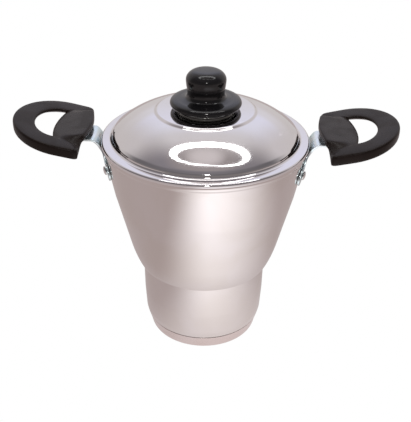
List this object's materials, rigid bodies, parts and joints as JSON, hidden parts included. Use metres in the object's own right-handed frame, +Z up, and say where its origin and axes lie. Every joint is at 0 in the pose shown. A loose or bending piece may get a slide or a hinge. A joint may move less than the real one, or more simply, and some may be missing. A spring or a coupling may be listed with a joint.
{
  "type": "lidded cooking pot",
  "caption": "Tall tapered stovetop cooking pot with a narrow lower tier, capped base, domed lift-off lid with knob, and loop handles on riveted brackets.",
  "frame": {"origin": "centre of the underside of the base, on the surface the pot stands on", "axes": "+Z up along the pot's axis, +X towards the right handle, -Y towards the front"},
  "size_m": [0.3484, 0.19, 0.2678],
  "materials": {
    "body_steel": "satin polished drawn sheet steel, fine marks round the body",
    "base_steel": "satin polished base cap",
    "core_aluminium": "plain disc, hidden in the base",
    "lid_steel": "mirror polished sheet steel with very fine polishing rings",
    "bracket_plating": "bright zinc plating with a faint blue green cast",
    "rivet_steel": "bright domed heads",
    "screw_plating": "zinc plated fasteners",
    "seat_steel": "plain pressed disc under the knob",
    "insert_brass": "turned brass, hidden in the mouldings",
    "grip_phenolic": "moulded black phenolic, semi gloss",
    "knob_phenolic": "moulded black phenolic, high gloss"
  },
  "bodies": {
    "pot": {"pot_body": "body_steel", "base_cap": "base_steel", "base_core": "core_aluminium", "left_bracket": "bracket_plating", "right_bracket": "bracket_plating", "left_rivet_front": "rivet_steel", "left_rivet_rear": "rivet_steel", "right_rivet_front": "rivet_steel", "right_rivet_rear": "rivet_steel", "left_grip": "grip_phenolic", "right_grip": "grip_phenolic", "left_grip_screw": "screw_plating", "right_grip_screw": "screw_plating", "left_lock_washer": "screw_plating", "right_lock_washer": "screw_plating", "left_grip_insert": "insert_brass", "right_grip_insert": "insert_brass"},
    "lid": {"lid_shell": "lid_steel", "knob": "knob_phenolic", "knob_insert": "insert_brass", "knob_seat": "seat_steel", "knob_screw": "screw_plating", "knob_screw_washer": "screw_plating"}
  },
  "joints": [
    {"name": "lid_lift", "type": "slide", "parent": "pot", "child": "lid", "axis": [0, 0, 1], "range_m": [0, 0.12]}
  ]
}
